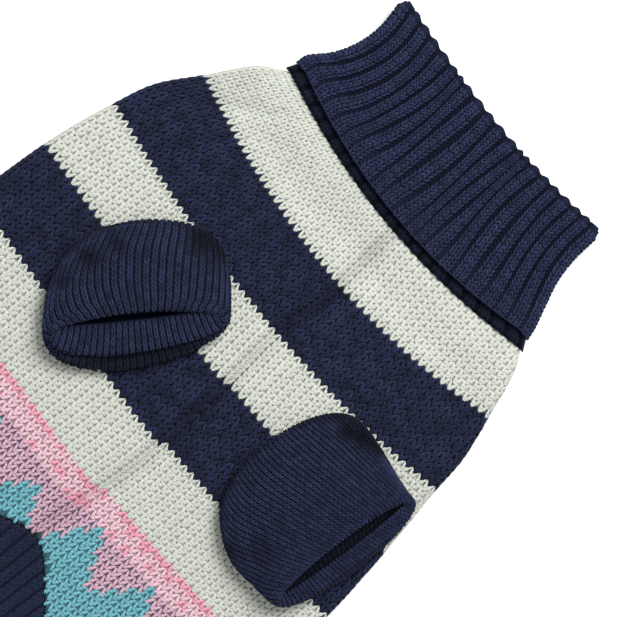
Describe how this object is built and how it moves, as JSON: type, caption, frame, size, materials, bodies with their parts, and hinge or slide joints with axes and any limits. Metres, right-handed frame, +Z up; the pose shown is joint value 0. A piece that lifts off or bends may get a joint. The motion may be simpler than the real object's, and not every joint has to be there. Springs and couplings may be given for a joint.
{
  "type": "dog sweater",
  "caption": "Knitted dog sweater laid flat, belly side up: striped body tube, ribbed fold-down turtleneck, two short ribbed sleeves on the belly and a ribbed leg-end band.",
  "frame": {"origin": "under the middle of the garment's box, on the surface it lies on", "axes": "+Y along the garment toward the collar, +X across it, +Z up out of the belly side"},
  "size_m": [0.2056, 0.3564, 0.0184],
  "materials": {
    "body_knit": "stockinette knit in navy, cream, pink, mauve and teal yarn, matt with a soft fuzz",
    "collar_rib": "thick navy rib knit, matt",
    "sleeve_rib": "fine navy rib knit, matt",
    "band_rib": "navy rib knit, matt"
  },
  "bodies": {
    "root": {"body_panel": "body_knit", "collar": "collar_rib", "sleeve_left": "sleeve_rib", "sleeve_right": "sleeve_rib", "hem_band": "band_rib"}
  },
  "joints": []
}
